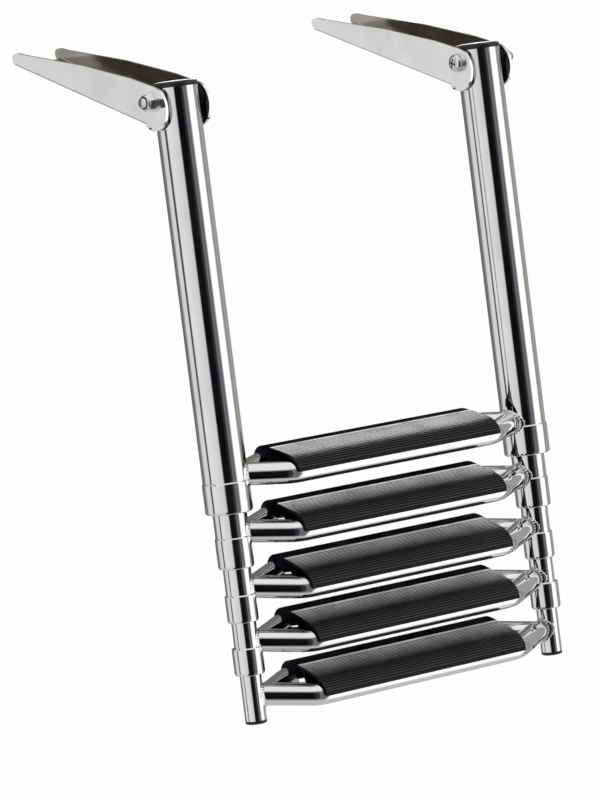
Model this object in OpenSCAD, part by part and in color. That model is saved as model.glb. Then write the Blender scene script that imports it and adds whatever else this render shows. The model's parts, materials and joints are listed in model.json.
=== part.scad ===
// Five-step telescoping boarding ladder on two channel brackets.
// Frame: X runs along the hinge line, Y points inboard over the platform, Z is up.
// The origin is the centre of the bolt pattern on the underside of the brackets.
// Drawn with the ladder swung down over the side and all sections pushed in.

/* [View] */
// Which sub-part to show, or all of them

/* [Overall] */
// Distance between the centres of the two rails
rail_spacing = 320; // [280:1:400]
// Lean of the rails away from the upright when swung down
lean = 19; // [0:1:25]
// Distance along a rail from one step to the next, pushed in
step_pitch = 45; // [40:1:60]
// Angles the front edges of the five steps are turned up
step_tilt = [7, 2.6, 0, 0, 0];
// Distance along a rail from the hinge to the first step
first_step = 316; // [280:1:400]
// How far each section slides out
slide_travel = 240; // [150:5:260]

/* [Brackets] */
// Thickness of the bracket sheet
sheet = 2.4; // [2:0.1:4]
// Clear width inside a bracket
channel_inside = 41.2; // [40:0.1:46]
// Height of the hinge line over the underside
hinge_height = 21.8; // [20:0.1:30]
// Distance from the middle bolt hole to the hinge line
hinge_setback = 127; // [100:1:160]
// Distance from the hinge line to the tip of a side wall
wall_reach = 206; // [150:1:260]
// Height of a side wall over the hinge end
wall_height = 34; // [30:0.5:50]
// Height of a side wall near its tip
tip_height = 11.5; // [8:0.5:20]
// Radius of the rounded hinge ear
ear_radius = 18.4; // [15:0.1:24]
// Diameter of the bolt holes in the base
bolt_hole = 6.6; // [5:0.1:9]
// Distance between the bolt holes along a bracket
bolt_pitch = 46; // [30:1:60]
// Distance from the hinge line to the near edge of the base
base_setback = 13.9; // [10:0.1:30]

/* [Rails] */
// Outside diameters of the five rail tubes, widest first
tube_od = [38.1, 28.6, 23.2, 20.6, 18.0];
// Wall thickness of the five rail tubes
tube_wall = [1.5, 1.2, 0.8, 0.8, 1.0];
// Outside diameters of the four collars
collar_od = [39.6, 30.0, 26.0, 25.4];
// Lengths of the four collars
collar_length = [26, 26, 23, 23];
// Distances along a rail from a step to the top of its collar
collar_drop = [0, 1, 4, 3];
// Distance the widest tube stands over the hinge line
tube_over_hinge = 10; // [8:0.5:14]
// Distance the thinnest tube runs below the last step
last_tube_tail = 19; // [12:1:40]
// Running gap at the sliding bushes
bush_gap = 0.1; // [0.05:0.01:0.2]

/* [Steps] */
// Length of a tread
tread_length = 215; // [180:1:260]
// Outside diameter of the two tubes under a tread
leg_od = 19.05; // [16:0.05:25]
// Wall thickness of the two tubes under a tread
leg_wall = 1.2; // [1:0.1:2]
// Gap between a tread and the tubes it clips over
clip_gap = 0.1; // [0.05:0.01:0.3]
// Distance from the rail plane to each tube under a tread
leg_offset = 20; // [15:0.5:30]
// Angle the tubes turn in towards a rail
leg_turn = 28; // [15:1:40]
// Bend radius on the centre line of the tubes
leg_bend = 30; // [20:1:60]

/* [Hinge hardware] */
// Shank diameter of a hinge bolt
bolt_d = 8; // [6:1:10]
// Diameter of the round bolt head
head_d = 15; // [12:0.5:18]
// Width across the flats of a hinge nut
nut_flats = 13; // [10:1:17]

/* [Hidden] */
$fn = 96;
half = rail_spacing / 2;
hinge_y = -hinge_setback;
outer_half = channel_inside / 2 + sheet;
leg_r = leg_od / 2;
straight = 100;
steel = [0.80, 0.81, 0.82];
black = [0.10, 0.10, 0.12];
nylon = [0.88, 0.88, 0.84];
washer_t = 1.6;
hole_r = bolt_d / 2 + 0.05;
nut_height = 8;
bolt_past_wall = 10.5;
lip = 2;
flange = 2.5;
stop_length = 16;
bend_radius = 2;
relief_r = 1.8;
tread_half = 32;
groove = [1.2, 2.6, 14.0];
groove_count = 13;
web_half = 1.2;

// Stations along a rail, measured down from the hinge line.
function step_at(n) = first_step + (n - 1) * step_pitch;
function od(n) = tube_od[n - 1];
function bore(n) = od(n) - 2 * tube_wall[n - 1];
function collar_top(n) = step_at(n) + collar_drop[n - 1];
function collar_end(n) = collar_top(n) + collar_length[n - 1];
function tube_end(n) = n == 5 ? step_at(5) + last_tube_tail : collar_end(n) - lip - flange;
function guide_top(n) = collar_top(n) + 4;
function tube_top(n) = n == 1 ? -tube_over_hinge : guide_top(n - 1) - slide_travel - stop_length - 0.5;

// Puts children on the rail line, a distance down from the hinge.
module along(s) {
  translate([0, hinge_y, hinge_height]) rotate([-lean, 0, 0]) translate([0, 0, -s]) children();
}

// Same place, but level with the brackets.
module level(s) {
  along(s) rotate([lean, 0, 0]) children();
}

// The plane of step n: level, then turned up at the front about its rear edge.
module step_plane(n) {
  tilt = step_tilt[n - 1];
  level(step_at(n)) translate([0, 0, tread_half * sin(tilt)]) rotate([-tilt, 0, 0]) children();
}

// Puts children at the left (-1) or right (+1) rail.
module rail(side) {
  translate([side * half, 0, 0]) children();
}

// A ring between two stations of a rail.
module ring(s0, s1, r_out, r_in) {
  along(s1) difference() {
    cylinder(r = r_out, h = s1 - s0);
    translate([0, 0, -1]) cylinder(r = r_in, h = s1 - s0 + 2);
  }
}

// ---------- brackets ----------

// Side profile of a bracket wall, drawn with the hinge line at x = 0.
module wall_profile() {
  difference() {
    union() {
      translate([0, wall_height - ear_radius]) circle(r = ear_radius);
      polygon([
        [0, 0], [wall_reach - 6, 0], [wall_reach - 1.5, 2.5], [wall_reach, 6],
        [wall_reach - 2, 9.6], [wall_reach - 7, tip_height], [wall_reach - 18, tip_height + 1.2],
        [wall_reach - 40, tip_height + 4.6], [wall_reach * 0.5, wall_height - 8.5],
        [wall_reach * 0.16, wall_height - 1.4], [0, wall_height]
      ]);
    }
    // small relief where the bend stops
    translate([relief_r - 0.2, -1]) circle(r = relief_r);
  }
}

module bracket() {
  inner = channel_inside / 2;
  base_to = wall_reach - 8;
  difference() {
    union() {
      for (m = [-1, 1])
        translate([m * (inner + sheet / 2), hinge_y, 0])
          rotate([90, 0, 90])
            linear_extrude(height = sheet, center = true) wall_profile();
      translate([-inner - 0.01, hinge_y + base_setback, 0])
        cube([channel_inside + 0.02, base_to - base_setback, sheet]);
      // inside corner of the two bends
      for (m = [0, 1]) mirror([m, 0, 0])
        translate([inner, hinge_y + base_setback, sheet]) rotate([-90, 0, 0])
          linear_extrude(height = base_to - base_setback)
            difference() {
              translate([-bend_radius, -bend_radius]) square(bend_radius);
              translate([-bend_radius, -bend_radius]) circle(r = bend_radius);
            }
    }
    // outside corner of the two bends
    for (m = [0, 1]) mirror([m, 0, 0])
      translate([outer_half, hinge_y - ear_radius - 5, 0]) rotate([-90, 0, 0])
        translate([0, 0, ear_radius + 5 + 6]) linear_extrude(height = wall_reach)
          difference() {
            translate([-bend_radius, -bend_radius]) square(bend_radius + 1);
            translate([-bend_radius, -bend_radius]) circle(r = bend_radius);
          }
    for (i = [-1, 0, 1])
      translate([0, i * bolt_pitch, -1]) cylinder(d = bolt_hole, h = sheet + 2);
    translate([-outer_half - 1, hinge_y, hinge_height]) rotate([0, 90, 0])
      cylinder(r = hole_r, h = 2 * outer_half + 2);
  }
}

module bracket_left() { color(steel) rail(-1) bracket(); }
module bracket_right() { color(steel) rail(1) bracket(); }

// ---------- hinge hardware, drawn for the right rail ----------

// Pan head on the inner side, shank through both ears.
module hinge_bolt() {
  start = -outer_half - washer_t;
  translate([half, hinge_y, hinge_height]) rotate([0, 90, 0]) {
    translate([0, 0, start]) cylinder(d = bolt_d, h = 2 * (outer_half + washer_t) + bolt_past_wall);
    difference() {
      translate([0, 0, start]) rotate_extrude() polygon([
        [0, 0], [head_d / 2, 0], [head_d / 2, -1.8], [head_d / 2 - 0.7, -3.2],
        [head_d / 2 - 2.4, -4.5], [head_d / 2 - 4.6, -5.2], [0, -5.5]
      ]);
      // cross recess
      for (a = [0, 90]) rotate([0, 0, a])
        translate([-4, -0.8, start - 7]) cube([8, 1.6, 4.2]);
    }
  }
}

module hinge_nut() {
  translate([half + outer_half + washer_t, hinge_y, hinge_height]) rotate([0, 90, 0])
    difference() {
      intersection() {
        cylinder(d = nut_flats / cos(30), h = nut_height, $fn = 6);
        rotate_extrude() polygon([
          [0, 0], [nut_flats / 2, 0], [nut_flats / 2 + 1, 0.6], [nut_flats / 2 + 1.1, 5.8],
          [nut_flats / 2, 6.4], [nut_flats / 2 - 0.4, 7.6], [nut_flats / 2 - 1.2, nut_height],
          [0, nut_height]
        ]);
      }
      translate([0, 0, -1]) cylinder(d = bolt_d, h = nut_height + 2);
    }
}

module hinge_bolt_left() { color(steel) mirror([1, 0, 0]) hinge_bolt(); }
module hinge_bolt_right() { color(steel) hinge_bolt(); }
module hinge_nut_left() { color(steel) mirror([1, 0, 0]) hinge_nut(); }
module hinge_nut_right() { color(steel) hinge_nut(); }

module flat_ring(x, r_out, t) {
  translate([x, hinge_y, hinge_height]) rotate([0, 90, 0]) difference() {
    cylinder(r = r_out, h = t);
    translate([0, 0, -1]) cylinder(r = bolt_d / 2, h = t + 2);
  }
}

module hinge_washers() {
  color(steel) for (m = [0, 1]) mirror([m, 0, 0]) {
    flat_ring(half + outer_half, 8.4, washer_t);
    flat_ring(half - outer_half - washer_t, 8.4, washer_t);
  }
}

module hinge_spacers() {
  gap = od(1) / 2 + 0.15;
  color(nylon) for (m = [0, 1]) mirror([m, 0, 0]) {
    flat_ring(half + gap, 9, channel_inside / 2 - gap);
    flat_ring(half - channel_inside / 2, 9, channel_inside / 2 - gap);
  }
}

// ---------- rails ----------

module tube(n) {
  difference() {
    ring(tube_top(n), tube_end(n), od(n) / 2, bore(n) / 2);
    if (n == 1)
      along(0) rotate([0, 90, 0]) cylinder(r = hole_r, h = 2 * od(1), center = true);
  }
}

// Sleeve on the lower end of a tube, with a lip that traps the bush.
module collar(n) {
  r = collar_od[n - 1] / 2;
  e = collar_end(n);
  l = collar_length[n - 1];
  along(e) difference() {
    rotate_extrude() polygon([
      [0, 0], [r - 1.6, 0], [r - 0.5, 0.7], [r, 2.2],
      [r, l - 1], [r - 0.3, l - 0.3], [r - 0.6, l], [0, l]
    ]);
    translate([0, 0, lip]) cylinder(r = od(n) / 2, h = l);
    translate([0, 0, -1]) cylinder(r = od(n + 1) / 2 + 0.5, h = l);
  }
}

// Bush inside the lower end of a tube; the next tube slides in it.
module guide_bush(n) {
  r_in = od(n + 1) / 2 + bush_gap;
  union() {
    ring(guide_top(n), tube_end(n), bore(n) / 2, r_in);
    ring(tube_end(n), tube_end(n) + flange, od(n) / 2, r_in);
  }
}

// Bush round the upper end of a sliding tube; it stops the slide.
module stop_bush(n) {
  ring(tube_top(n), tube_top(n) + stop_length, bore(n - 1) / 2 - bush_gap, od(n) / 2);
}

module top_cap() {
  r = od(1) / 2;
  along(-tube_over_hinge) rotate_extrude() polygon([
    [0, -4.5], [r - tube_wall[0], -4.5], [r - tube_wall[0], 0], [r, 0], [r, 2.6],
    [r - 0.5, 3.8], [r - 1.5, 4.6], [r - 6, 5.1], [0, 5.4]
  ]);
}

module end_plug() {
  r = od(5) / 2;
  along(tube_end(5)) rotate_extrude() polygon([
    [0, 12], [r - tube_wall[4], 12], [r - tube_wall[4], 0], [r, 0], [r, -1.6],
    [r - 0.6, -2.6], [r - 2, -3], [0, -3]
  ]);
}

// ---------- steps ----------

// Two bent tubes that turn in and are mitred where they meet; r is the tube radius.
module leg_pair(r) {
  run = (half - straight) / cos(leg_turn);
  for (my = [0, 1]) mirror([0, my, 0]) intersection() {
    union() {
      translate([-straight, leg_offset, 0]) rotate([0, 90, 0]) cylinder(r = r, h = 2 * straight);
      for (mx = [0, 1]) mirror([mx, 0, 0])
        translate([straight, leg_offset - leg_bend, 0]) {
          rotate([0, 0, 90 - leg_turn]) rotate_extrude(angle = leg_turn)
            translate([leg_bend, 0]) circle(r = r);
          rotate([0, 0, 90 - leg_turn]) translate([leg_bend, 0, 0])
            rotate([90, 0, 0]) cylinder(r = r, h = run);
        }
    }
    translate([-rail_spacing, 0, -leg_od]) cube([2 * rail_spacing, 4 * leg_offset, 2 * leg_od]);
  }
}

// Both tubes of a step, cut to sit against the rails of section n.
module step_frame(n) {
  limit = half - 0.35 * od(n) / 2;
  difference() {
    step_plane(n) intersection() {
      difference() {
        leg_pair(leg_r);
        leg_pair(leg_r - leg_wall);
      }
      cube([2 * limit, 200, 60], center = true);
    }
    for (side = [-1, 1]) rail(side) {
      along(step_at(n) + 60) cylinder(r = od(n) / 2, h = 120);
      if (n < 5) along(collar_end(n)) cylinder(r = collar_od[n - 1] / 2, h = collar_length[n - 1]);
    }
  }
}

// Ribbed cover that clips over both tubes of a step.
module tread_profile() {
  difference() {
    polygon([
      [-31.5, 2.4], [-31.2, 4.6], [-29.6, 7.6], [-26.6, 10.4], [-22.5, 12.6], [-17, 14.1],
      [-10, 14.7], [0, 14.9], [12, 14.9], [19, 14.7], [24, 13.6], [28.2, 11.1],
      [31, 7.4], [32, 4.6], [32.2, 2.4]
    ]);
    // hollows on both sides of the middle web
    polygon([
      [-web_half, 0], [-web_half, 11.6], [-10, 11.6], [-16, 11.1], [-20.6, 10], [-24, 8.4],
      [-26.6, 6.2], [-28.4, 3.4], [-28.8, 0]
    ]);
    polygon([
      [web_half, 0], [web_half, 11.7], [12, 11.7], [18, 11.5], [21.8, 10.6], [25, 8.6],
      [27.6, 5.6], [28.8, 2.6], [28.9, 0]
    ]);
    // grooves along the top
    for (i = [0 : groove_count - 1])
      translate([-15.4 + i * groove[1], groove[2]]) square([groove[0], 2]);
  }
}

module tread(n) {
  step_plane(n) difference() {
    rotate([90, 0, 90]) linear_extrude(height = tread_length, center = true) tread_profile();
    leg_pair(leg_r + clip_gap);
  }
}

// ---------- named sub-parts ----------

module top_cap_left() { color(black) rail(-1) top_cap(); }
module top_cap_right() { color(black) rail(1) top_cap(); }
module end_plug_left() { color(black) rail(-1) end_plug(); }
module end_plug_right() { color(black) rail(1) end_plug(); }

module tube_1_left() { color(steel) rail(-1) tube(1); }
module tube_1_right() { color(steel) rail(1) tube(1); }
module tube_2_left() { color(steel) rail(-1) tube(2); }
module tube_2_right() { color(steel) rail(1) tube(2); }
module tube_3_left() { color(steel) rail(-1) tube(3); }
module tube_3_right() { color(steel) rail(1) tube(3); }
module tube_4_left() { color(steel) rail(-1) tube(4); }
module tube_4_right() { color(steel) rail(1) tube(4); }
module tube_5_left() { color(steel) rail(-1) tube(5); }
module tube_5_right() { color(steel) rail(1) tube(5); }

module collar_1_left() { color(steel) rail(-1) collar(1); }
module collar_1_right() { color(steel) rail(1) collar(1); }
module collar_2_left() { color(steel) rail(-1) collar(2); }
module collar_2_right() { color(steel) rail(1) collar(2); }
module collar_3_left() { color(steel) rail(-1) collar(3); }
module collar_3_right() { color(steel) rail(1) collar(3); }
module collar_4_left() { color(steel) rail(-1) collar(4); }
module collar_4_right() { color(steel) rail(1) collar(4); }

module guide_bush_1_left() { color(nylon) rail(-1) guide_bush(1); }
module guide_bush_1_right() { color(nylon) rail(1) guide_bush(1); }
module guide_bush_2_left() { color(nylon) rail(-1) guide_bush(2); }
module guide_bush_2_right() { color(nylon) rail(1) guide_bush(2); }
module guide_bush_3_left() { color(nylon) rail(-1) guide_bush(3); }
module guide_bush_3_right() { color(nylon) rail(1) guide_bush(3); }
module guide_bush_4_left() { color(nylon) rail(-1) guide_bush(4); }
module guide_bush_4_right() { color(nylon) rail(1) guide_bush(4); }

module stop_bush_2_left() { color(nylon) rail(-1) stop_bush(2); }
module stop_bush_2_right() { color(nylon) rail(1) stop_bush(2); }
module stop_bush_3_left() { color(nylon) rail(-1) stop_bush(3); }
module stop_bush_3_right() { color(nylon) rail(1) stop_bush(3); }
module stop_bush_4_left() { color(nylon) rail(-1) stop_bush(4); }
module stop_bush_4_right() { color(nylon) rail(1) stop_bush(4); }
module stop_bush_5_left() { color(nylon) rail(-1) stop_bush(5); }
module stop_bush_5_right() { color(nylon) rail(1) stop_bush(5); }

module step_1_frame() { color(steel) step_frame(1); }
module step_2_frame() { color(steel) step_frame(2); }
module step_3_frame() { color(steel) step_frame(3); }
module step_4_frame() { color(steel) step_frame(4); }
module step_5_frame() { color(steel) step_frame(5); }

module step_1_tread() { color(black) tread(1); }
module step_2_tread() { color(black) tread(2); }
module step_3_tread() { color(black) tread(3); }
module step_4_tread() { color(black) tread(4); }
module step_5_tread() { color(black) tread(5); }

bracket_left();
bracket_right();
hinge_bolt_left();
hinge_bolt_right();
hinge_nut_left();
hinge_nut_right();
hinge_washers();
hinge_spacers();
tube_1_left();
tube_1_right();
top_cap_left();
top_cap_right();
collar_1_left();
collar_1_right();
guide_bush_1_left();
guide_bush_1_right();
step_1_frame();
step_1_tread();
tube_2_left();
tube_2_right();
stop_bush_2_left();
stop_bush_2_right();
collar_2_left();
collar_2_right();
guide_bush_2_left();
guide_bush_2_right();
step_2_frame();
step_2_tread();
tube_3_left();
tube_3_right();
stop_bush_3_left();
stop_bush_3_right();
collar_3_left();
collar_3_right();
guide_bush_3_left();
guide_bush_3_right();
step_3_frame();
step_3_tread();
tube_4_left();
tube_4_right();
stop_bush_4_left();
stop_bush_4_right();
collar_4_left();
collar_4_right();
guide_bush_4_left();
guide_bush_4_right();
step_4_frame();
step_4_tread();
tube_5_left();
tube_5_right();
stop_bush_5_left();
stop_bush_5_right();
end_plug_left();
end_plug_right();
step_5_frame();
step_5_tread();
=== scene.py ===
# %% [markdown]
# # A telescoping boarding ladder
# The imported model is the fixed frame: five tube sections that slide into each other, five treads, and
# two brackets that the ladder folds on. This lesson gives that frame its looks. Everything is in
# metres, and X runs along the hinge line, Y points inboard over the deck and Z is up.

# %% Load the frame
import json
import math
import bpy
import bmesh
from mathutils import Matrix, Vector


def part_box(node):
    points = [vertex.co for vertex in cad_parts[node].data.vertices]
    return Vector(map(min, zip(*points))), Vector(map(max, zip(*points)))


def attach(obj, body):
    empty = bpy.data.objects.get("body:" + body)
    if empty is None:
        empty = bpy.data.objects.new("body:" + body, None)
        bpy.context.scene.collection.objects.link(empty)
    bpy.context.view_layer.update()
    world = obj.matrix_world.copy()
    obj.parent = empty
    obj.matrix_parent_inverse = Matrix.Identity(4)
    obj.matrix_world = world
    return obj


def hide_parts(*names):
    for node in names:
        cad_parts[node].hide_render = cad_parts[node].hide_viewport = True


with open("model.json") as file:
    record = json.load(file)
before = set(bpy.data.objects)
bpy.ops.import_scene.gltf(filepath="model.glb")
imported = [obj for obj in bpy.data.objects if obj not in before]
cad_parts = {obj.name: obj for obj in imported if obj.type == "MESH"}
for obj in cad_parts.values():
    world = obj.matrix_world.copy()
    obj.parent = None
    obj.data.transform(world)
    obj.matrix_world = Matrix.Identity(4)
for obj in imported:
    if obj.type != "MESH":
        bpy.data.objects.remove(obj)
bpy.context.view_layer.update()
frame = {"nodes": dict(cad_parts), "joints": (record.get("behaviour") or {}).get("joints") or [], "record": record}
nodes = frame["nodes"]

# %% [markdown]
# ## The camera
# A long lens far from the ladder keeps its rails almost parallel. The camera is made first, from the
# place where it stands, an azimuth, an elevation and a small roll.

# %% Camera
CAMERA_AT = Vector((-2.2255, -2.9073, 0.9850))
AZIMUTH, ELEVATION, ROLL = (math.radians(a) for a in (-38.593, 19.332, 4.505))
LENS_MM, FAR_CLIP = 197.67, 60
back = Vector((math.sin(AZIMUTH) * math.cos(ELEVATION),
               -math.cos(AZIMUTH) * math.cos(ELEVATION), math.sin(ELEVATION)))
level_right = Vector((math.cos(AZIMUTH), math.sin(AZIMUTH), 0))
level_up = back.cross(level_right)
right = level_right * math.cos(ROLL) + level_up * math.sin(ROLL)
turn = Matrix((right, back.cross(right), back)).transposed().to_4x4()
camera = bpy.data.objects.new("camera", bpy.data.cameras.new("camera"))
bpy.context.scene.collection.objects.link(camera)
camera.matrix_world = Matrix.Translation(CAMERA_AT) @ turn
camera.data.lens = LENS_MM
camera.data.clip_end = FAR_CLIP
bpy.context.scene.camera = camera
print("camera", [round(v, 3) for v in camera.location], "lens", camera.data.lens)

# %% [markdown]
# ## Floor and studio light
# Mirror steel shows only what stands round it. A studio gives a chrome tube its shape with white walls
# and black flags, which the tube squeezes into upright bands. Here those walls are painted on the world
# as a ramp round the compass that only reflections see, while the eye and the shading see an even white
# studio. The floor lies below the ladder at its full reach.

# %% Floor
FLOOR_Z, FLOOR_R = -1.55, 40
pale = bpy.data.materials.new("pale_floor")
pale.use_nodes = True
pale_shader = pale.node_tree.nodes["Principled BSDF"]
pale_shader.inputs["Base Color"].default_value = (0.995, 0.995, 0.995, 1)
pale_shader.inputs["Roughness"].default_value = 0.9
bm = bmesh.new()
bmesh.ops.create_circle(bm, cap_ends=True, segments=64, radius=FLOOR_R)
bmesh.ops.translate(bm, verts=bm.verts, vec=(0, 0, FLOOR_Z))
floor_mesh = bpy.data.meshes.new("floor")
bm.to_mesh(floor_mesh)
bm.free()
floor_mesh.materials.append(pale)
floor = bpy.data.objects.new("floor", floor_mesh)
bpy.context.scene.collection.objects.link(floor)
floor.visible_glossy = False

# %% World
# Compass angle in degrees, from +X towards +Y, then the brightness and tint that steel sees there.
WALLS = [
    (-180, (0.80, 0.80, 0.80)), (-141, (0.68, 0.68, 0.68)), (-135.5, (0.60, 0.60, 0.60)),
    (-132, (0.02, 0.02, 0.02)), (-129, (0.003, 0.003, 0.004)), (-101, (0.003, 0.003, 0.004)),
    (-97, (0.022, 0.022, 0.028)), (-88, (0.036, 0.036, 0.042)), (-84, (0.17, 0.18, 0.20)),
    (-74, (0.12, 0.12, 0.13)), (-66, (0.22, 0.23, 0.24)), (-60, (1.15, 1.15, 1.14)),
    (-27, (1.2, 1.2, 1.18)), (-21, (0.50, 0.48, 0.46)), (-14, (0.24, 0.23, 0.22)),
    (-4, (0.36, 0.35, 0.34)), (22, (0.36, 0.35, 0.33)), (50, (0.17, 0.16, 0.15)),
    (92, (0.15, 0.14, 0.13)), (114, (0.26, 0.25, 0.25)), (125, (0.70, 0.70, 0.69)),
    (149, (0.74, 0.74, 0.73)), (153, (0.60, 0.60, 0.60)), (156, (0.05, 0.05, 0.06)),
    (162, (0.08, 0.08, 0.09)), (166, (0.80, 0.80, 0.80)), (180, (0.80, 0.80, 0.80)),
]
# How high a reflected ray points where the walls give way to the ceiling, and to the ground.
CEILING_FROM, CEILING_FULL = 0.55, 0.85
GROUND_FROM, GROUND_FULL = -0.5, -0.75
world = bpy.data.worlds.new("studio")
bpy.context.scene.world = world
world.use_nodes = True
wt = world.node_tree
wt.nodes.clear()


def put(tree, kind, **settings):
    """A node with its settings; the value of an input is given by its number, as in_0 or in_1."""
    made = tree.nodes.new(kind)
    for key, value in settings.items():
        if key.startswith("in_"):
            made.inputs[int(key[3:])].default_value = value
        else:
            setattr(made, key, value)
    return made


def wire(tree, out, into):
    tree.links.new(out, into)


towards = put(wt, "ShaderNodeTexCoord")
parts = put(wt, "ShaderNodeSeparateXYZ")
wire(wt, towards.outputs["Generated"], parts.inputs[0])
compass = put(wt, "ShaderNodeMath", operation="ARCTAN2")
wire(wt, parts.outputs["Y"], compass.inputs[0])
wire(wt, parts.outputs["X"], compass.inputs[1])
share = put(wt, "ShaderNodeMapRange", in_1=-math.pi, in_2=math.pi)
wire(wt, compass.outputs[0], share.inputs[0])
walls = put(wt, "ShaderNodeValToRGB")
wire(wt, share.outputs[0], walls.inputs[0])
stops = walls.color_ramp.elements
for n, (angle, tint) in enumerate(WALLS):
    place = (angle + 180) / 360
    stop = stops[0] if n == 0 else stops[-1] if n == len(WALLS) - 1 else stops.new(place)
    stop.position = place
    stop.color = (*tint, 1)
overhead = put(wt, "ShaderNodeMapRange", interpolation_type="SMOOTHSTEP",
               in_1=CEILING_FROM, in_2=CEILING_FULL)
wire(wt, parts.outputs["Z"], overhead.inputs[0])
ceiling = put(wt, "ShaderNodeMix", data_type="RGBA")
ceiling.inputs["B"].default_value = (0.85, 0.85, 0.85, 1)
wire(wt, overhead.outputs[0], ceiling.inputs["Factor"])
wire(wt, walls.outputs[0], ceiling.inputs["A"])
below = put(wt, "ShaderNodeMapRange", interpolation_type="SMOOTHSTEP",
            in_1=GROUND_FROM, in_2=GROUND_FULL)
wire(wt, parts.outputs["Z"], below.inputs[0])
ground = put(wt, "ShaderNodeMix", data_type="RGBA")
ground.inputs["B"].default_value = (0.55, 0.55, 0.54, 1)
wire(wt, below.outputs[0], ground.inputs["Factor"])
wire(wt, ceiling.outputs["Result"], ground.inputs["A"])
seen_in_steel = put(wt, "ShaderNodeBackground")
wire(wt, ground.outputs["Result"], seen_in_steel.inputs["Color"])
even = put(wt, "ShaderNodeBackground")
even.inputs["Color"].default_value = (1, 1, 1, 1)
even.inputs["Strength"].default_value = 1.0
ray = put(wt, "ShaderNodeLightPath")
pick = put(wt, "ShaderNodeMixShader")
wire(wt, ray.outputs["Is Glossy Ray"], pick.inputs[0])
wire(wt, even.outputs[0], pick.inputs[1])
wire(wt, seen_in_steel.outputs[0], pick.inputs[2])
wire(wt, pick.outputs[0], put(wt, "ShaderNodeOutputWorld").inputs[0])
bpy.context.scene.view_settings.view_transform = "Standard"
print("world walls", len(stops))

# %% [markdown]
# Two soft lamps stand by for the black plastic only, which would look dead in an even light: a wide one
# in front, and one behind that gives the ribbed tops the grey shine of satin plastic seen at a low angle.
# A lamp lights only what is in its receiver collection, so the plastic pieces are put there as they come.

# %% Lamps
plastic_lit = bpy.data.collections.new("plastic_lit")


def soft_lamp(name, at, look_at, size, power):
    lamp = bpy.data.objects.new(name, bpy.data.lights.new(name, "AREA"))
    bpy.context.scene.collection.objects.link(lamp)
    lamp.data.size = size
    lamp.data.energy = power
    aim = (Vector(look_at) - Vector(at)).to_track_quat("-Z", "Y").to_matrix().to_4x4()
    lamp.matrix_world = Matrix.Translation(at) @ aim
    lamp.light_linking.receiver_collection = plastic_lit


soft_lamp("front_lamp", at=(-2.4, -2.6, 2.4), look_at=(0, -0.2, -0.2), size=2.5, power=7)
soft_lamp("shine_lamp", at=(1.9, 2.3, 0.75), look_at=(0, -0.25, -0.4), size=1.6, power=68)

# %% [markdown]
# ## Finishes shared by several parts
# Hand-polished steel is never a perfect mirror: it waves a little, carries faint lines in the polishing
# direction and has smudges that dull it in patches. That goes in one node group that hands out a tint,
# a roughness and a normal, so that each material can ask for its own amount. Moulded plastic gets the
# same treatment with a fine grain.

# %% Node group: hand polish


def new_group(name, sockets, results):
    """A shader node group with named inputs (name, type, value) and outputs (name, type)."""
    group = bpy.data.node_groups.new(name, "ShaderNodeTree")
    for label, kind, value in sockets:
        made = group.interface.new_socket(label, in_out="INPUT", socket_type="NodeSocket" + kind)
        made.default_value = value
    for label, kind in results:
        group.interface.new_socket(label, in_out="OUTPUT", socket_type="NodeSocket" + kind)
    return group, group.nodes.new("NodeGroupInput"), group.nodes.new("NodeGroupOutput")


# What a full smudge and a full hairline add to the roughness, and how high waves and hairlines stand.
SMUDGE_DULLS, LINE_DULLS = 0.05, 0.03
WAVE_HIGH, LINE_HIGH = 0.0004, 0.00002
polish, p_in, p_out = new_group(
    "hand_polish",
    [("Wave", "Float", 0.2), ("Lines", "Float", 0.05), ("Line Scale", "Vector", (900, 900, 14)),
     ("Gloss", "Float", 0.05), ("Bright", "Color", (0.9, 0.9, 0.9, 1)),
     ("Dull", "Color", (0.8, 0.8, 0.8, 1))],
    [("Tint", "Color"), ("Roughness", "Float"), ("Normal", "Vector")])
where = put(polish, "ShaderNodeTexCoord")
stretch = put(polish, "ShaderNodeMapping")
wire(polish, where.outputs["Object"], stretch.inputs["Vector"])
wire(polish, p_in.outputs["Line Scale"], stretch.inputs["Scale"])
hairlines = put(polish, "ShaderNodeTexNoise")
hairlines.inputs["Scale"].default_value = 1.0
hairlines.inputs["Detail"].default_value = 3
wire(polish, stretch.outputs[0], hairlines.inputs["Vector"])
smudges = put(polish, "ShaderNodeTexNoise")
smudges.inputs["Scale"].default_value = 22
smudges.inputs["Detail"].default_value = 5
wire(polish, where.outputs["Object"], smudges.inputs["Vector"])
swell = put(polish, "ShaderNodeTexNoise")
swell.inputs["Scale"].default_value = 34
swell.inputs["Detail"].default_value = 1
wire(polish, where.outputs["Object"], swell.inputs["Vector"])
patches = put(polish, "ShaderNodeMapRange", in_1=0.42, in_2=0.75)
wire(polish, smudges.outputs[0], patches.inputs[0])
dulling = put(polish, "ShaderNodeMath", operation="MULTIPLY_ADD", in_1=SMUDGE_DULLS)
wire(polish, patches.outputs[0], dulling.inputs[0])
wire(polish, p_in.outputs["Gloss"], dulling.inputs[2])
line_dulling = put(polish, "ShaderNodeMath", operation="MULTIPLY_ADD", in_1=LINE_DULLS)
wire(polish, hairlines.outputs[0], line_dulling.inputs[0])
wire(polish, dulling.outputs[0], line_dulling.inputs[2])
wire(polish, line_dulling.outputs[0], p_out.inputs["Roughness"])
tone = put(polish, "ShaderNodeMix", data_type="RGBA")
wire(polish, patches.outputs[0], tone.inputs["Factor"])
wire(polish, p_in.outputs["Bright"], tone.inputs["A"])
wire(polish, p_in.outputs["Dull"], tone.inputs["B"])
wire(polish, tone.outputs["Result"], p_out.inputs["Tint"])
wave_bump = put(polish, "ShaderNodeBump")
wave_bump.inputs["Distance"].default_value = WAVE_HIGH
wire(polish, swell.outputs[0], wave_bump.inputs["Height"])
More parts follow.
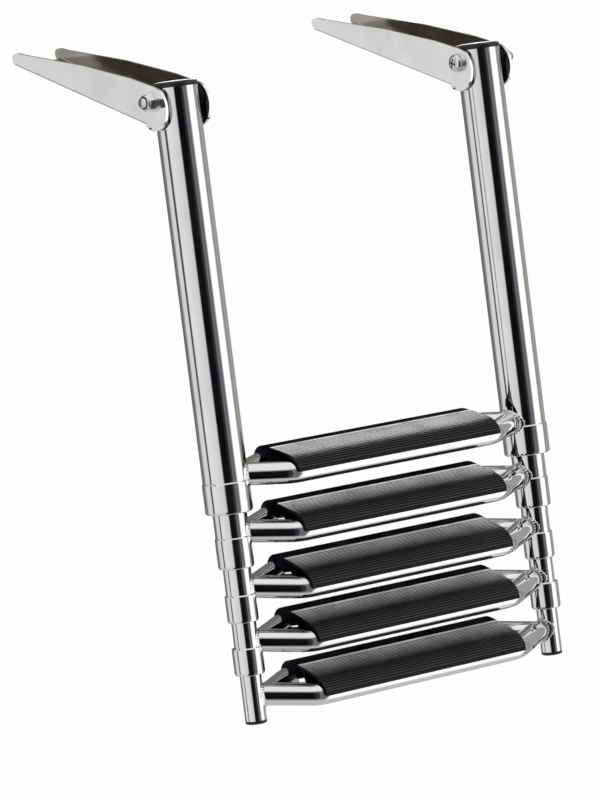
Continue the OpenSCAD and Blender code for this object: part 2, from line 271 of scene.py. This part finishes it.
wire(polish, p_in.outputs["Wave"], wave_bump.inputs["Strength"])
line_bump = put(polish, "ShaderNodeBump")
line_bump.inputs["Distance"].default_value = LINE_HIGH
wire(polish, hairlines.outputs[0], line_bump.inputs["Height"])
wire(polish, p_in.outputs["Lines"], line_bump.inputs["Strength"])
wire(polish, wave_bump.outputs[0], line_bump.inputs["Normal"])
wire(polish, line_bump.outputs[0], p_out.inputs["Normal"])

# %% Node group: moulded grain
HANDLING_DULLS, GRAIN_HIGH = 0.1, 0.00005
grain, g_in, g_out = new_group(
    "moulded_grain",
    [("Grain Scale", "Float", 1500), ("Depth", "Float", 0.3), ("Sheen", "Float", 0.35),
     ("Deep", "Color", (0.01, 0.01, 0.013, 1)), ("Worn", "Color", (0.03, 0.03, 0.034, 1))],
    [("Colour", "Color"), ("Roughness", "Float"), ("Normal", "Vector")])
where = put(grain, "ShaderNodeTexCoord")
pits = put(grain, "ShaderNodeTexNoise")
pits.inputs["Detail"].default_value = 2
wire(grain, where.outputs["Object"], pits.inputs["Vector"])
wire(grain, g_in.outputs["Grain Scale"], pits.inputs["Scale"])
flow = put(grain, "ShaderNodeTexNoise")
flow.inputs["Scale"].default_value = 45
flow.inputs["Detail"].default_value = 6
wire(grain, where.outputs["Object"], flow.inputs["Vector"])
handling = put(grain, "ShaderNodeMapRange", in_1=0.4, in_2=0.72)
wire(grain, flow.outputs[0], handling.inputs[0])
colour = put(grain, "ShaderNodeMix", data_type="RGBA")
wire(grain, handling.outputs[0], colour.inputs["Factor"])
wire(grain, g_in.outputs["Deep"], colour.inputs["A"])
wire(grain, g_in.outputs["Worn"], colour.inputs["B"])
wire(grain, colour.outputs["Result"], g_out.inputs["Colour"])
satin = put(grain, "ShaderNodeMath", operation="MULTIPLY_ADD", in_1=HANDLING_DULLS)
wire(grain, handling.outputs[0], satin.inputs[0])
wire(grain, g_in.outputs["Sheen"], satin.inputs[2])
wire(grain, satin.outputs[0], g_out.inputs["Roughness"])
grain_bump = put(grain, "ShaderNodeBump")
grain_bump.inputs["Distance"].default_value = GRAIN_HIGH
wire(grain, pits.outputs[0], grain_bump.inputs["Height"])
wire(grain, g_in.outputs["Depth"], grain_bump.inputs["Strength"])
wire(grain, grain_bump.outputs[0], g_out.inputs["Normal"])

# %% [markdown]
# ## One finish for each kind of part
# Tubes and step frames are polished until they mirror, collars are turned and keep fine rings, and sheet, welds
# and fasteners stay a little duller. The black plastic runs from the dry, smooth back of a tread to its ridges,
# which feet rub shiny; the ridges are also a lighter black, partly wear and partly a painted highlight. Two dark
# finishes are painted shade, for the inside of the bracket channel and for the cross recess of the screws. All of
# them are the same Principled shader, fed by a shared group with other values, and the slot of a part decides
# which finish it gets.

# %% Materials


def material(name, group, metallic, specular=0.5, **values):
    """A Principled material fed by one of the shared groups, with its own values."""
    made = bpy.data.materials.new(name)
    made.use_nodes = True
    tree = made.node_tree
    shader = tree.nodes["Principled BSDF"]
    shader.inputs["Metallic"].default_value = metallic
    shader.inputs["Specular IOR Level"].default_value = specular
    use = put(tree, "ShaderNodeGroup", node_tree=group)
    for label, value in values.items():
        use.inputs[label.replace("_", " ")].default_value = value
    wire(tree, use.outputs[0], shader.inputs["Base Color"])
    wire(tree, use.outputs["Roughness"], shader.inputs["Roughness"])
    wire(tree, use.outputs["Normal"], shader.inputs["Normal"])
    return made


MIRROR, CLOUDED = (0.90, 0.90, 0.905, 1), (0.84, 0.84, 0.845, 1)
mirror_tube = material("mirror_tube", polish, 1, Wave=0.10, Lines=0.25, Gloss=0.025,
                       Bright=MIRROR, Dull=CLOUDED)
turned_collar = material("turned_collar", polish, 1, Wave=0.08, Lines=0.35, Gloss=0.03,
                         Line_Scale=(60, 60, 1600), Bright=MIRROR, Dull=CLOUDED)
polished_sheet = material("polished_sheet", polish, 1, Wave=0.5, Lines=0.5, Gloss=0.09,
                          Line_Scale=(900, 16, 900), Bright=(0.96, 0.96, 0.955, 1),
                          Dull=(0.86, 0.86, 0.86, 1))
# Painted shade: a browner, darker copy of the sheet steel for the inside of the bracket channel.
painted_shade_sheet = material("painted_shade_sheet", polish, 1, Wave=0.5, Lines=0.6, Gloss=0.14,
                        Line_Scale=(900, 16, 900), Bright=(0.46, 0.435, 0.41, 1),
                        Dull=(0.33, 0.31, 0.29, 1))
welded_frame = material("welded_frame", polish, 1, Wave=0.16, Lines=0.3, Gloss=0.035,
                        Line_Scale=(16, 900, 900), Bright=MIRROR, Dull=CLOUDED)
weld_metal = material("weld_metal", polish, 1, Wave=0.5, Lines=0.6, Gloss=0.12,
                      Line_Scale=(700, 700, 700), Bright=(0.86, 0.85, 0.83, 1),
                      Dull=(0.66, 0.64, 0.60, 1))
bright_fastener = material("bright_fastener", polish, 1, Wave=0.2, Lines=0.4, Gloss=0.17,
                           Line_Scale=(300, 300, 300), Bright=(0.85, 0.85, 0.85, 1),
                           Dull=(0.72, 0.72, 0.71, 1))
ribbed_black = material("ribbed_black", grain, 0, 0.22, Grain_Scale=1400, Depth=0.25, Sheen=0.40,
                        Deep=(0.0015, 0.0015, 0.003, 1), Worn=(0.004, 0.004, 0.006, 1))
# The ridges are a lighter black than the rest of the tread: partly wear, partly a painted highlight along each
# ridge.
worn_ridge_and_highlight = material("worn_ridge_and_highlight", grain, 0, 0.5, Grain_Scale=1400, Depth=0.10, Sheen=0.34,
                        Deep=(0.010, 0.010, 0.013, 1), Worn=(0.024, 0.024, 0.028, 1))
moulded_black = material("moulded_black", grain, 0, 0.45, Grain_Scale=900, Depth=0.25, Sheen=0.38,
                         Deep=(0.006, 0.006, 0.008, 1), Worn=(0.016, 0.016, 0.018, 1))
smooth_black = material("smooth_black", grain, 0, 0.0, Grain_Scale=1100, Depth=0.4, Sheen=0.45,
                        Deep=(0.004, 0.004, 0.007, 1), Worn=(0.016, 0.016, 0.021, 1))
# Painted shade: a dark steel for the cross recess of the screws.
recess_painted_shade = material("recess_painted_shade", polish, 1, Wave=0.4, Lines=0.6, Gloss=0.30,
                       Line_Scale=(300, 300, 300), Bright=(0.10, 0.10, 0.10, 1),
                       Dull=(0.04, 0.04, 0.04, 1))
natural_nylon = material("natural_nylon", grain, 0, 0.5, Grain_Scale=700, Depth=0.2, Sheen=0.42,
                         Deep=(0.72, 0.71, 0.66, 1), Worn=(0.82, 0.82, 0.78, 1))
FINISH = {"bracket_steel": polished_sheet, "fastener_steel": bright_fastener, "tube_steel": mirror_tube,
          "collar_steel": turned_collar, "frame_steel": welded_frame, "tread_plastic": ribbed_black,
          "cap_plastic": moulded_black, "nylon": natural_nylon}
slot_of = {part["node"]: part["material_slot"] for part in frame["record"]["subparts"]}
for name, node in nodes.items():
    node.data.materials.clear()
    node.data.materials.append(FINISH[slot_of[name]])
    # The hinge spacers are nylon but take the black plastic finish, as painted shade for the dark inside the ears.
    if name == "hinge_spacers":
        node.data.materials[0] = moulded_black
    if slot_of[name] == "cap_plastic":
        plastic_lit.objects.link(node)
print("materials", len(FINISH), "on", len(nodes), "nodes")

# %% [markdown]
# ## Where things are
# The hinge line and the direction of the rails are read from the joints, so they aren't typed in again.
# A small ruler reads how far down a rail a node reaches and how wide it is.

# %% Rail ruler
joints = {joint["name"]: joint for joint in frame["joints"]}
hinge = Vector(joints["fold"]["pos_m"])
down = Vector(joints["slide_2"]["axis"]).normalized()
lean = math.atan2(-down.y, -down.z)
half = (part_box("tube_5_right")[0].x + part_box("tube_5_right")[1].x) / 2
SIDES = {"left": -1, "right": 1}


def rail_matrix(side):
    """Local Z runs up the rail from the hinge line, and local X is the frame's X."""
    return Matrix.Translation((SIDES[side] * half, hinge.y, hinge.z)) @ Matrix.Rotation(-lean, 4, "X")


def span(node):
    """Top and bottom station down the rail, and the outer radius, of a round node."""
    side = node.rsplit("_", 1)[1]
    local = rail_matrix(side).inverted()
    points = [local @ v.co for v in nodes[node].data.vertices]
    stations = [-p.z for p in points]
    return min(stations), max(stations), max(math.hypot(p.x, p.y) for p in points)


for n in range(1, 6):
    print("tube", n, [round(v, 4) for v in span(f"tube_{n}_left")])

# %% [markdown]
# ## Making a piece
# Every new piece ends the same way: its mesh is shaded smooth except across real corners, it gets its materials,
# it is hung under the empty of the body it rides on, and the part it stands for is hidden.
# Two more helpers lay a piece on its step and spin a small section into a ring.

# %% Piece helper
MM = 0.001
MERGE = 1e-5
FIRST_STEP, STEP_PITCH, TREAD_HALF = 0.316, 0.045, 0.032
TILT = [math.radians(a) for a in (7, 2.6, 0, 0, 0)]


def piece_from(bm, name, body, finishes, stands_for=None, corner=35):
    mesh = bpy.data.meshes.new(name)
    bm.to_mesh(mesh)
    bm.free()
    mesh.shade_smooth()
    mesh.set_sharp_from_angle(angle=math.radians(corner))
    for finish in finishes:
        mesh.materials.append(finish)
    piece = bpy.data.objects.new(name, mesh)
    bpy.context.scene.collection.objects.link(piece)
    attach(piece, body)
    if stands_for:
        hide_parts(stands_for)
    return piece


def step_matrix(n):
    """Local X along step n, local Y inboard and local Z up, with the tilt of that step."""
    station, tilt = FIRST_STEP + (n - 1) * STEP_PITCH, TILT[n - 1]
    return (Matrix.Translation((0, hinge.y, hinge.z)) @ Matrix.Rotation(-lean, 4, "X")
            @ Matrix.Translation((0, 0, -station)) @ Matrix.Rotation(lean, 4, "X")
            @ Matrix.Translation((0, 0, TREAD_HALF * math.sin(tilt))) @ Matrix.Rotation(-tilt, 4, "X"))


def spin_ring(bm, section_r, ring_r, steps, merge):
    """A small round section, spun into a closed ring about local Z."""
    bmesh.ops.create_circle(bm, segments=10, radius=section_r)
    bmesh.ops.rotate(bm, verts=bm.verts, matrix=Matrix.Rotation(math.radians(90), 3, "X"))
    bmesh.ops.translate(bm, verts=bm.verts, vec=(ring_r, 0, 0))
    bmesh.ops.spin(bm, geom=bm.verts[:] + bm.edges[:], cent=(0, 0, 0), axis=(0, 0, 1),
                   angle=math.tau, steps=steps, use_merge=True)
    bmesh.ops.remove_doubles(bm, verts=bm.verts, dist=merge)

# %% [markdown]
# ## The brackets
# Cut and folded sheet has no knife edges: tumbling and polishing round them, and that thin round is what catches
# the light. A copy of each bracket has its doubles merged and its flat faces joined, so that one small bevel can
# run round every rim. The faces inside the channel, the inner walls and the top of the base, take a browner and
# darker finish that is painted shade.

# %% Brackets
EDGE_ROUND, SHEET, SLACK = 0.5 * MM, 2.4 * MM, 0.02 * MM
FLAT_WITHIN, RIM_TURN = math.radians(0.5), math.radians(50)


def make_bracket(side):
    node = f"bracket_{side}"
    low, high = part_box(node)
    middle, inner = (low.x + high.x) / 2, (high.x - low.x) / 2 - SHEET
    bm = bmesh.new()
    bm.from_mesh(nodes[node].data)
    bmesh.ops.remove_doubles(bm, verts=bm.verts, dist=MERGE)
    bmesh.ops.dissolve_limit(bm, angle_limit=FLAT_WITHIN, verts=bm.verts, edges=bm.edges)
    rims = [e for e in bm.edges if len(e.link_faces) == 2 and e.calc_face_angle(0) > RIM_TURN]
    bmesh.ops.bevel(bm, geom=rims, offset=EDGE_ROUND, offset_type="OFFSET", affect="EDGES", segments=3,
                    profile=0.5, material=-1, clamp_overlap=True)
    # Faces inside the channel get the second material, the painted shade.
    for f in bm.faces:
        at = f.calc_center_median()
        f.material_index = int(abs(at.x - middle) < inner + SLACK and at.z > SHEET - SLACK)
    faces = len(bm.faces)
    piece = piece_from(bm, f"sheet_{side}", "brackets", [polished_sheet, painted_shade_sheet],
                       node, corner=40)
    piece.modifiers.new("even_normals", "WEIGHTED_NORMAL").keep_sharp = True
    return len(rims), faces


for side in SIDES:
    print("bracket", side, "rims and faces", make_bracket(side))

# %% [markdown]
# ## The treads
# A tread is one extruded plastic section: a thin arched shell, a hook that snaps over the rear tube, a
# slanting web and a nose that rolls over the front tube. The back of the arch is smooth and the rest is
# ribbed for grip. It could be a swept curve, but a section that is drawn once and extruded is how the
# real one is made. The grooves are pressed in afterwards by insetting every second long strip.
# The numbers of the section are in millimetres.

# %% Tread section
OUTER = [(32.2, 2.4), (32, 4.6), (31, 7.4), (28.2, 11.1), (24, 13.6), (19, 14.7), (12, 14.9), (0, 14.9),
         (-10, 14.7), (-17, 14.1), (-22.5, 12.6), (-26.6, 10.4), (-29.6, 7.6), (-31.2, 4.6), (-31.5, 2.4)]
INNER = [(-29.3, 2.4), (-28.3, 4.8), (-26.9, 7.0), (-24.8, 8.9), (-21.4, 10.6), (-16.6, 11.7), (-10, 12.2),
         (0, 12.4), (3.4, 12.2), (-2.2, 6.4), (-4.4, 2.6), (-2.7, 2.4), (-0.7, 5.6), (6.2, 12.3),
         (12.6, 12.1), (11.5, 7.9), (9.7, 4.8), (8.9, 2.4)]
HOOK_AT, HOOK_R = 20, 9.6
HOOK_FROM, HOOK_SWEEP, HOOK_STEPS = 165.5, 151, 16
SMOOTH_REAR = 10
RIDGE, GROOVE, PRESSED, DRAWN_IN, PLAIN_LIP = 0.85, 1.5, 0.7, 0.16, 0.6


def round_corners(points, times=2):
    """Cuts every corner of a broken line, and keeps both of its ends."""
    for _ in range(times):
        cut = [points[0]]
        for a, b in zip(points, points[1:]):
            cut += [a.lerp(b, 0.25), a.lerp(b, 0.75)]
        points = cut + [points[-1]]
    return points


def point_at(points, distance):
    """The point that lies a distance along a broken line."""
    for a, b in zip(points, points[1:]):
        if distance <= (b - a).length:
            return a.lerp(b, distance / (b - a).length)
        distance -= (b - a).length
    return points[-1]


arch = round_corners([Vector(p) for p in OUTER])
rear = [p for p in arch if p.x > SMOOTH_REAR]
front = [p for p in arch if p.x <= SMOOTH_REAR]
front_length = sum((b - a).length for a, b in zip(front, front[1:]))
rib_count = int((front_length - PLAIN_LIP) // (RIDGE + GROOVE))
rib_points = []
for i in range(rib_count):
    at = i * (RIDGE + GROOVE)
    rib_points += [point_at(front, at + RIDGE), point_at(front, at + RIDGE + GROOVE)]
hook = [Vector((HOOK_AT + HOOK_R * math.cos(a), HOOK_R * math.sin(a)))
        for a in (math.radians(HOOK_FROM - i * HOOK_SWEEP / HOOK_STEPS) for i in range(HOOK_STEPS + 1))]
section = rear + [front[0]] + rib_points + [front[-1]] + [Vector(p) for p in INNER] + hook
first_rib = len(rear) + 1
print("tread section", len(section), "points,", rib_count, "ribs")

# %% Treads


def long_faces(edges):
    """The faces beside some edges of the section that run the length of the tread."""
    return [f for edge in edges for f in edge.link_faces if abs(f.normal.x) < 0.5]


def make_tread(n):
    low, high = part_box(f"step_{n}_tread")
    bm = bmesh.new()
    rim = [bm.verts.new((low.x, p.x * MM, p.y * MM)) for p in section]
    end = bm.faces.new(rim)
    rib_rim = rim[first_rib:first_rib + 2 * rib_count]
    pressed = [bm.edges.get(pair) for pair in zip(rib_rim[::2], rib_rim[1::2])]
    standing = [bm.edges.get(pair) for pair in zip(rib_rim[1::2], rib_rim[2::2])]
    grown = bmesh.ops.extrude_face_region(bm, geom=[end])["geom"]
    bmesh.ops.translate(bm, verts=[g for g in grown if isinstance(g, bmesh.types.BMVert)],
                        vec=(high.x - low.x, 0, 0))
    bmesh.ops.recalc_face_normals(bm, faces=bm.faces)
    strips = long_faces(pressed)
    bmesh.ops.inset_individual(bm, faces=strips, thickness=DRAWN_IN * MM, depth=-PRESSED * MM)
    for f in bm.faces:
        f.material_index = int(f.calc_center_median().y > SMOOTH_REAR * MM or abs(f.normal.x) > 0.9)
    # The standing ridges take the lighter black, partly wear and partly painted highlight.
    for f in long_faces(standing):
        f.material_index = 2
    bmesh.ops.transform(bm, matrix=step_matrix(n), verts=bm.verts)
    piece = piece_from(bm, f"tread_{n}", f"section_{n}",
                       [ribbed_black, smooth_black, worn_ridge_and_highlight], f"step_{n}_tread", corner=28)
    plastic_lit.objects.link(piece)
    return len(strips)


for n in range(1, 6):
    print("tread", n, "grooves", make_tread(n))

# %% [markdown]
# ## The weld beads
# Where the two tubes of a step meet a rail, a welder left a ring of overlapping puddles. A plain torus
# would look like a rubber ring, so a spun one has its section swelled and pinched once per puddle and is
# then laid on the round of the leaning rail. It sinks in less than a tube wall, to leave the bore free.
# The flattened side can fool the search for outward normals, so the sign of the volume settles them.
# The bead is shaped in millimetres.

# %% Welds
PUDDLES, STEPS_EACH, SWELL = 26, 6, 0.12
DRIFT, DRIFTS_ROUND = 0.7, 3
BEAD_R, BEAD_TALL, BEAD_SUNK, BEAD_PROUD = 1.35, 10.2, 0.3, 0.2
BEAD_WIDE = [13, 10.5, 9.1, 8.4, 7.7]


def make_weld(n, side):
    bm = bmesh.new()
    spin_ring(bm, BEAD_R, BEAD_TALL, steps=PUDDLES * STEPS_EACH, merge=1e-4)
    rail_r = span(f"tube_{n}_{side}")[2] / MM
    to_rail = rail_matrix(side).inverted() @ step_matrix(n)
    for v in bm.verts:
        turn_at = math.atan2(v.co.y, v.co.x)
        swell = 1 + SWELL * math.cos(PUDDLES * turn_at + DRIFT * math.sin(DRIFTS_ROUND * turn_at))
        out = (math.hypot(v.co.x, v.co.y) - BEAD_TALL) * swell
        inboard = (BEAD_WIDE[n - 1] + out) * math.cos(turn_at)
        up = (BEAD_TALL + out) * math.sin(turn_at)
        across = (to_rail @ (Vector((0, inboard, up)) * MM)).y / MM
        surface = half / MM - math.sqrt(max(rail_r ** 2 - across ** 2, 1))
        lift = max(v.co.z * swell + BEAD_PROUD, -BEAD_SUNK)
        v.co = Vector((SIDES[side] * (surface - lift), inboard, up)) * MM
    bmesh.ops.recalc_face_normals(bm, faces=bm.faces)
    if bm.calc_volume(signed=True) < 0:
        bmesh.ops.reverse_faces(bm, faces=bm.faces)
    bmesh.ops.transform(bm, matrix=step_matrix(n), verts=bm.verts)
    volume = bm.calc_volume(signed=True)
    piece_from(bm, f"weld_{n}_{side}", f"section_{n}", [weld_metal], corner=80)
    return volume


for n in range(1, 6):
    for side in SIDES:
        print("weld", n, side, "mm3 with faces outward", round(make_weld(n, side) / MM ** 3, 1))

# %% [markdown]
# ## The pan head screws
# The screw keeps its exact shape, so its mesh is copied and merged. The cross recess reads as black where shade
# falls in it, so its faces take a dark material of their own, which is painted shade. They are the faces near the
# axis that lie below the crown of the head.

# %% Screws
RECESS_R, CROWN, RECESS_DEEP = 4.15 * MM, 5.5 * MM, 2.8 * MM
SKIN, FLOOR_WITHIN = 0.1 * MM, 0.2 * MM


def make_screw(side):
    node = f"hinge_bolt_{side}"
    low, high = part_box(node)
    head, inwards = (low.x, 1) if side == "right" else (high.x, -1)
    bm = bmesh.new()
    bm.from_mesh(nodes[node].data)
    bmesh.ops.remove_doubles(bm, verts=bm.verts, dist=MERGE)
    for f in bm.faces:
        at = f.calc_center_median()
        deep = (at.x - head) * inwards
        off_axis = math.hypot(at.y - hinge.y, at.z - hinge.z)
        wall = abs(f.normal.x) < 0.2 and SKIN < deep < RECESS_DEEP
        floor_face = abs(f.normal.x) > 0.9 and abs(deep - (CROWN - RECESS_DEEP)) < FLOOR_WITHIN
        # The faces of the cross recess get the second material, the painted shade.
        f.material_index = int(off_axis < RECESS_R and (wall or floor_face))
    dark = sum(f.material_index for f in bm.faces)
    piece_from(bm, f"screw_{side}", "brackets", [bright_fastener, recess_painted_shade], node)
    return dark


for side in SIDES:
    print("screw", side, "recess faces", make_screw(side))

# %% [markdown]
# ## The nylon rings of the lock nuts
# A lock nut grips its bolt with a dark nylon ring that shows round the tip of the bolt. A small section
# is spun round the hinge line, in the mouth of each nut.

# %% Nut rings
RING_R, RING_SECTION_R = 4.75 * MM, 0.78 * MM


def make_nut_ring(side):
    low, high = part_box(f"hinge_nut_{side}")
    mouth = high.x if side == "right" else low.x
    bm = bmesh.new()
    spin_ring(bm, RING_SECTION_R, RING_R, steps=64, merge=1e-6)
    bmesh.ops.recalc_face_normals(bm, faces=bm.faces)
    place = Matrix.Translation((mouth, hinge.y, hinge.z)) @ Matrix.Rotation(math.radians(90), 4, "Y")
    bmesh.ops.transform(bm, matrix=place, verts=bm.verts)
    piece = piece_from(bm, f"nut_ring_{side}", "brackets", [moulded_black])
    plastic_lit.objects.link(piece)


for side in SIDES:
    make_nut_ring(side)
print("nut rings", 2)
